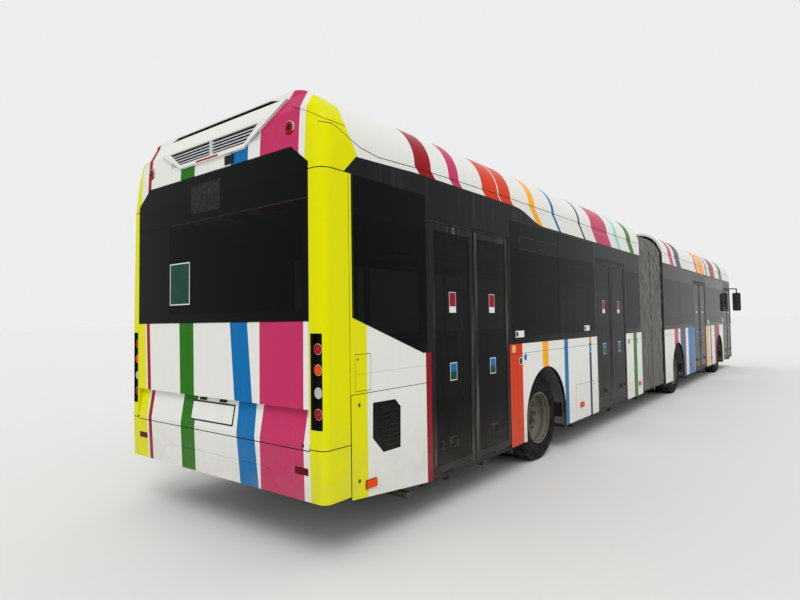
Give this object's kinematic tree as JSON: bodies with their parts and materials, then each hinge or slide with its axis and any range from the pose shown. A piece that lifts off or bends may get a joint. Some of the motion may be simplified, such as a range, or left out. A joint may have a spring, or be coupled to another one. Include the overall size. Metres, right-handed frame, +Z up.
{
  "type": "articulated bus",
  "caption": "Two-section low-floor city bus joined by a pleated bellows and turntable, with inward-gliding double doors, steered front wheels and twin rear wheels.",
  "frame": {"origin": "on the ground under the middle of the bus", "axes": "+X forward, +Y to the bus's left, +Z up"},
  "size_m": [18.134, 3.12, 3.2799],
  "materials": {
    "body_paint": "satin white coach paint with coloured stripes",
    "dark_frame": "black powder coat",
    "tinted_glass": "dark tinted bonded glass",
    "floor_covering": "speckled vinyl flooring",
    "underframe_paint": "black wax-coated steel",
    "axle_iron": "painted casting",
    "tyre": "radial tyre on a grey painted steel rim",
    "bellows_fabric": "coated grey pleated fabric",
    "seat_shell": "moulded seat shells with stanchions",
    "cab_plastic": "textured dark moulding",
    "lamp_lens": "lamp lenses",
    "headlamp_lens": "clear lens",
    "mirror_shell": "black mirror housing",
    "turntable_steel": "black steel with treadplate top",
    "door_frame": "black anodised leaf with tinted glass",
    "post_metal": "grey turning post",
    "engine_metal": "painted casting"
  },
  "bodies": {
    "front_section": {"front_roof": "body_paint", "front_right_wall": "body_paint", "front_left_wall": "body_paint", "front_mask": "body_paint", "windscreen": "tinted_glass", "front_side_glass": "tinted_glass", "front_floor": "floor_covering", "front_underframe": "underframe_paint", "front_axle": "axle_iron", "middle_axle": "axle_iron", "front_seats_and_poles": "seat_shell", "driver_cab": "cab_plastic", "headlamps": "headlamp_lens", "mirrors": "mirror_shell", "front_gangway_frame": "dark_frame", "front_bellows": "bellows_fabric"},
    "centre_frame": {"turntable": "turntable_steel", "centre_hoop": "dark_frame"},
    "rear_section": {"rear_roof": "body_paint", "rear_right_wall": "body_paint", "rear_left_wall": "body_paint", "rear_end_panel": "body_paint", "rear_window": "tinted_glass", "rear_side_glass": "tinted_glass", "rear_floor": "floor_covering", "rear_underframe": "underframe_paint", "rear_axle": "axle_iron", "engine": "engine_metal", "rear_seats_and_poles": "seat_shell", "tail_lamps": "lamp_lens", "rear_gangway_frame": "dark_frame", "rear_bellows": "bellows_fabric"},
    "engine_lid": {"engine_lid": "body_paint"},
    "right_hatch": {"right_hatch": "body_paint"},
    "left_knuckle": {"left_knuckle": "axle_iron"},
    "right_knuckle": {"right_knuckle": "axle_iron"},
    "tie_rod": {"tie_rod": "axle_iron"},
    "front_left_wheel": {"front_left_wheel": "tyre"},
    "front_right_wheel": {"front_right_wheel": "tyre"},
    "middle_left_wheel": {"middle_left_wheel": "tyre"},
    "middle_right_wheel": {"middle_right_wheel": "tyre"},
    "rear_left_wheel": {"rear_left_wheel": "tyre"},
    "rear_right_wheel": {"rear_right_wheel": "tyre"},
    "door_4_rear_post": {"door_4_rear_post": "post_metal"},
    "door_4_rear_leaf": {"door_4_rear_leaf": "door_frame"},
    "door_4_front_post": {"door_4_front_post": "post_metal"},
    "door_4_front_leaf": {"door_4_front_leaf": "door_frame"},
    "door_3_rear_post": {"door_3_rear_post": "post_metal"},
    "door_3_rear_leaf": {"door_3_rear_leaf": "door_frame"},
    "door_3_front_post": {"door_3_front_post": "post_metal"},
    "door_3_front_leaf": {"door_3_front_leaf": "door_frame"},
    "door_2_rear_post": {"door_2_rear_post": "post_metal"},
    "door_2_rear_leaf": {"door_2_rear_leaf": "door_frame"},
    "door_2_front_post": {"door_2_front_post": "post_metal"},
    "door_2_front_leaf": {"door_2_front_leaf": "door_frame"},
    "door_1_rear_post": {"door_1_rear_post": "post_metal"},
    "door_1_rear_leaf": {"door_1_rear_leaf": "door_frame"},
    "door_1_front_post": {"door_1_front_post": "post_metal"},
    "door_1_front_leaf": {"door_1_front_leaf": "door_frame"}
  },
  "joints": [
    {"name": "front_articulation", "type": "hinge", "parent": "centre_frame", "child": "front_section", "pos_m": [-0.788, 0, 0.25], "axis": [0, 0, 1], "range_deg": [-25, 25], "deforming": ["front_bellows"]},
    {"name": "rear_articulation", "type": "hinge", "parent": "centre_frame", "child": "rear_section", "pos_m": [-0.788, 0, 0.25], "axis": [0, 0, 1], "range_deg": [-25, 25], "deforming": ["rear_bellows"]},
    {"name": "steering", "type": "hinge", "parent": "front_section", "child": "left_knuckle", "pos_m": [6.453, 0.895, 0.4785], "axis": [0, 0, 1], "range_deg": [-40, 40]},
    {"name": "right_steering", "type": "hinge", "parent": "front_section", "child": "right_knuckle", "pos_m": [6.453, -0.895, 0.4785], "axis": [0, 0, 1], "range_deg": [-40, 40]},
    {"name": "tie_rod_end", "type": "hinge", "parent": "left_knuckle", "child": "tie_rod", "pos_m": [6.243, 0.883, 0.19], "axis": [0, 0, 1], "range_deg": [-41, 41]},
    {"name": "front_left_wheel_spin", "type": "hinge", "parent": "left_knuckle", "child": "front_left_wheel", "pos_m": [6.453, 1.0475, 0.4785], "axis": [0, 1, 0], "continuous": true},
    {"name": "front_right_wheel_spin", "type": "hinge", "parent": "right_knuckle", "child": "front_right_wheel", "pos_m": [6.453, -1.0475, 0.4785], "axis": [0, 1, 0], "continuous": true},
    {"name": "middle_left_wheel_spin", "type": "hinge", "parent": "front_section", "child": "middle_left_wheel", "pos_m": [1.203, 0.882, 0.4785], "axis": [0, 1, 0], "continuous": true},
    {"name": "middle_right_wheel_spin", "type": "hinge", "parent": "front_section", "child": "middle_right_wheel", "pos_m": [1.203, -0.882, 0.4785], "axis": [0, 1, 0], "continuous": true},
    {"name": "rear_left_wheel_spin", "type": "hinge", "parent": "rear_section", "child": "rear_left_wheel", "pos_m": [-5.557, 0.882, 0.4785], "axis": [0, 1, 0], "continuous": true},
    {"name": "rear_right_wheel_spin", "type": "hinge", "parent": "rear_section", "child": "rear_right_wheel", "pos_m": [-5.557, -0.882, 0.4785], "axis": [0, 1, 0], "continuous": true},
    {"name": "door_4_rear_post_turn", "type": "hinge", "parent": "rear_section", "child": "door_4_rear_post", "pos_m": [-7.886, -1.202, 0.32], "axis": [0, 0, 1], "range_deg": [0, 90]},
    {"name": "door_4_rear_leaf_turn", "type": "hinge", "parent": "door_4_rear_post", "child": "door_4_rear_leaf", "pos_m": [-7.52325, -1.252, 0.34], "axis": [0, 0, 1], "range_deg": [-180, 0]},
    {"name": "door_4_front_post_turn", "type": "hinge", "parent": "rear_section", "child": "door_4_front_post", "pos_m": [-6.419, -1.202, 0.32], "axis": [0, 0, -1], "range_deg": [0, 90]},
    {"name": "door_4_front_leaf_turn", "type": "hinge", "parent": "door_4_front_post", "child": "door_4_front_leaf", "pos_m": [-6.78175, -1.252, 0.34], "axis": [0, 0, -1], "range_deg": [-180, 0]},
    {"name": "door_3_rear_post_turn", "type": "hinge", "parent": "rear_section", "child": "door_3_rear_post", "pos_m": [-3.863, -1.202, 0.32], "axis": [0, 0, 1], "range_deg": [0, 90]},
    {"name": "door_3_rear_leaf_turn", "type": "hinge", "parent": "door_3_rear_post", "child": "door_3_rear_leaf", "pos_m": [-3.50725, -1.252, 0.34], "axis": [0, 0, 1], "range_deg": [-180, 0]},
    {"name": "door_3_front_post_turn", "type": "hinge", "parent": "rear_section", "child": "door_3_front_post", "pos_m": [-2.424, -1.202, 0.32], "axis": [0, 0, -1], "range_deg": [0, 90]},
    {"name": "door_3_front_leaf_turn", "type": "hinge", "parent": "door_3_front_post", "child": "door_3_front_leaf", "pos_m": [-2.77975, -1.252, 0.34], "axis": [0, 0, -1], "range_deg": [-180, 0]},
    {"name": "door_2_rear_post_turn", "type": "hinge", "parent": "front_section", "child": "door_2_rear_post", "pos_m": [2.919, -1.202, 0.32], "axis": [0, 0, 1], "range_deg": [0, 90]},
    {"name": "door_2_rear_leaf_turn", "type": "hinge", "parent": "door_2_rear_post", "child": "door_2_rear_leaf", "pos_m": [3.312, -1.252, 0.34], "axis": [0, 0, 1], "range_deg": [-180, 0]},
    {"name": "door_2_front_post_turn", "type": "hinge", "parent": "front_section", "child": "door_2_front_post", "pos_m": [4.507, -1.202, 0.32], "axis": [0, 0, -1], "range_deg": [0, 90]},
    {"name": "door_2_front_leaf_turn", "type": "hinge", "parent": "door_2_front_post", "child": "door_2_front_leaf", "pos_m": [4.114, -1.252, 0.34], "axis": [0, 0, -1], "range_deg": [-180, 0]},
    {"name": "door_1_rear_post_turn", "type": "hinge", "parent": "front_section", "child": "door_1_rear_post", "pos_m": [7.399, -1.202, 0.32], "axis": [0, 0, 1], "range_deg": [0, 90]},
    {"name": "door_1_rear_leaf_turn", "type": "hinge", "parent": "door_1_rear_post", "child": "door_1_rear_leaf", "pos_m": [7.727, -1.252, 0.34], "axis": [0, 0, 1], "range_deg": [-180, 0]},
    {"name": "door_1_front_post_turn", "type": "hinge", "parent": "front_section", "child": "door_1_front_post", "pos_m": [8.727, -1.202, 0.32], "axis": [0, 0, -1], "range_deg": [0, 90]},
    {"name": "door_1_front_leaf_turn", "type": "hinge", "parent": "door_1_front_post", "child": "door_1_front_leaf", "pos_m": [8.399, -1.252, 0.34], "axis": [0, 0, -1], "range_deg": [-180, 0]},
    {"name": "engine_lid_hinge", "type": "hinge", "parent": "rear_section", "child": "engine_lid", "pos_m": [-9.067, 0, 1.62], "axis": [0, 1, 0], "range_deg": [0, 80]},
    {"name": "right_hatch_hinge", "type": "hinge", "parent": "rear_section", "child": "right_hatch", "pos_m": [-7.891, -1.275, 0.7], "axis": [0, 0, 1], "range_deg": [0, 95]}
  ],
  "couplings": [
    {"joint": "rear_articulation", "follows": "front_articulation", "ratio": -1},
    {"joint": "right_steering", "follows": "steering", "ratio": 1},
    {"joint": "tie_rod_end", "follows": "steering", "ratio": -1.0125},
    {"joint": "door_4_rear_leaf_turn", "follows": "door_4_rear_post_turn", "ratio": -2},
    {"joint": "door_4_front_post_turn", "follows": "door_4_rear_post_turn", "ratio": 1},
    {"joint": "door_4_front_leaf_turn", "follows": "door_4_rear_post_turn", "ratio": -2},
    {"joint": "door_3_rear_leaf_turn", "follows": "door_3_rear_post_turn", "ratio": -2},
    {"joint": "door_3_front_post_turn", "follows": "door_3_rear_post_turn", "ratio": 1},
    {"joint": "door_3_front_leaf_turn", "follows": "door_3_rear_post_turn", "ratio": -2},
    {"joint": "door_2_rear_leaf_turn", "follows": "door_2_rear_post_turn", "ratio": -2},
    {"joint": "door_2_front_post_turn", "follows": "door_2_rear_post_turn", "ratio": 1},
    {"joint": "door_2_front_leaf_turn", "follows": "door_2_rear_post_turn", "ratio": -2},
    {"joint": "door_1_rear_leaf_turn", "follows": "door_1_rear_post_turn", "ratio": -2},
    {"joint": "door_1_front_post_turn", "follows": "door_1_rear_post_turn", "ratio": 1},
    {"joint": "door_1_front_leaf_turn", "follows": "door_1_rear_post_turn", "ratio": -2}
  ]
}
